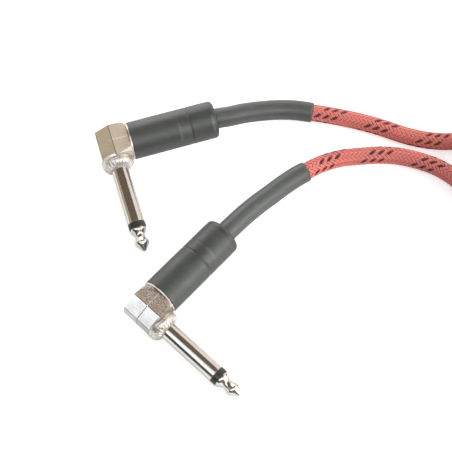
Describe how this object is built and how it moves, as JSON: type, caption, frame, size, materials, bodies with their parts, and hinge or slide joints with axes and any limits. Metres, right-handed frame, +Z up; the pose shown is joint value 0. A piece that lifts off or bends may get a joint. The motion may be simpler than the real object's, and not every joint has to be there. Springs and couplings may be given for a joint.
{
  "type": "instrument cable",
  "caption": "Tweed-braided instrument cable with a right-angle 6.35 mm mono plug at each end, laid on the floor with its length coiled.",
  "frame": {"origin": "on the floor, under the middle of the box round the two plugs", "axes": "+X toward the coiled length, +Y from the lower plug to the upper one, +Z up"},
  "size_m": [0.2493, 0.1179, 0.0278],
  "materials": {
    "nickel": "polished nickel plate",
    "black_plastic": "satin",
    "white_plastic": "matt",
    "shrink_black": "matt shrink sleeve",
    "tweed_braid": "woven braid with dark tracers",
    "terminal_brass": "bright",
    "copper": "bare copper strands",
    "solder": "satin solder"
  },
  "bodies": {
    "root": {"elbow_head_a": "nickel", "flange_ring_a": "nickel", "plug_sleeve_a": "nickel", "staked_collar_a": "nickel", "insulating_ring_a": "black_plastic", "tip_contact_a": "nickel", "inner_insulator_a": "white_plastic", "rear_washer_a": "white_plastic", "tip_lug_a": "terminal_brass", "ground_clamp_a": "terminal_brass", "barrel_shell_a": "nickel", "barrel_liner_a": "white_plastic", "barrel_wrap_a": "shrink_black", "cable_boot_a": "shrink_black", "cable_tail_a": "tweed_braid", "shield_braid_a": "copper", "shield_pigtail_a": "copper", "core_insulation_a": "white_plastic", "centre_wire_a": "copper", "tip_solder_a": "solder", "ground_solder_a": "solder", "elbow_head_b": "nickel", "flange_ring_b": "nickel", "plug_sleeve_b": "nickel", "staked_collar_b": "nickel", "insulating_ring_b": "black_plastic", "tip_contact_b": "nickel", "inner_insulator_b": "white_plastic", "rear_washer_b": "white_plastic", "tip_lug_b": "terminal_brass", "ground_clamp_b": "terminal_brass", "barrel_shell_b": "nickel", "barrel_liner_b": "white_plastic", "barrel_wrap_b": "shrink_black", "cable_boot_b": "shrink_black", "cable_tail_b": "tweed_braid", "shield_braid_b": "copper", "shield_pigtail_b": "copper", "core_insulation_b": "white_plastic", "centre_wire_b": "copper", "tip_solder_b": "solder", "ground_solder_b": "solder", "cable_run_a": "tweed_braid", "cable_coil": "tweed_braid", "cable_run_b": "tweed_braid"}
  },
  "joints": []
}
